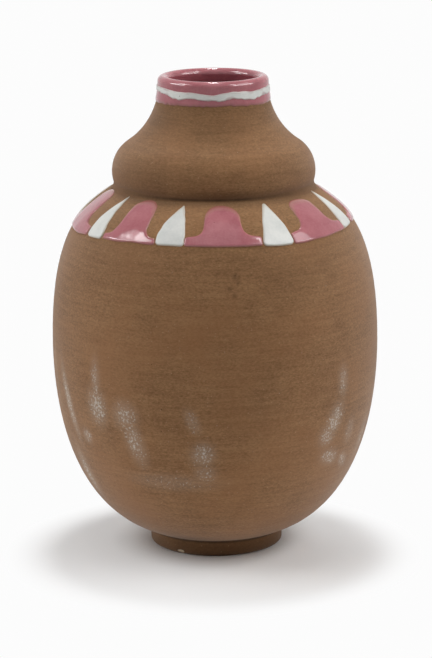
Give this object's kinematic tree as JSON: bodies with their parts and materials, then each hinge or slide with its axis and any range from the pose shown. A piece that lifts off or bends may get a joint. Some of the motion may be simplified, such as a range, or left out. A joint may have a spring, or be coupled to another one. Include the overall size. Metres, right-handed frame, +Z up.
{
  "type": "ovoid vase",
  "caption": "Ovoid unglazed clay vase on a low foot ring, with a bulbed collar, a glazed rim and a shoulder band of raised glaze tongues and teeth; holds flowers or stands as an ornament.",
  "frame": {"origin": "middle of the foot ring's underside, on the surface that the vase stands on", "axes": "+Z up along the axis that the vase was thrown on; the front of the picture is -Y, +X is to its right"},
  "size_m": [0.179, 0.179, 0.2608],
  "materials": {
    "clay": "unglazed brown earthenware, matt, with fine throwing lines and pale scuffs",
    "slip": "dark dried luting slip",
    "pink_glaze": "thick glossy pink glaze",
    "white_glaze": "thick glossy off-white glaze",
    "lining_glaze": "glossy dark pink lining glaze"
  },
  "bodies": {
    "root": {"foot_ring": "clay", "foot_slip": "slip", "body": "clay", "collar_slip": "slip", "collar": "clay", "lining": "lining_glaze", "rim_glaze": "pink_glaze", "rim_line": "white_glaze", "pink_tongue_1": "pink_glaze", "pink_tongue_2": "pink_glaze", "pink_tongue_3": "pink_glaze", "pink_tongue_4": "pink_glaze", "pink_tongue_5": "pink_glaze", "pink_tongue_6": "pink_glaze", "pink_tongue_7": "pink_glaze", "pink_tongue_8": "pink_glaze", "white_tooth_1": "white_glaze", "white_tooth_2": "white_glaze", "white_tooth_3": "white_glaze", "white_tooth_4": "white_glaze", "white_tooth_5": "white_glaze", "white_tooth_6": "white_glaze", "white_tooth_7": "white_glaze", "white_tooth_8": "white_glaze"}
  },
  "joints": []
}
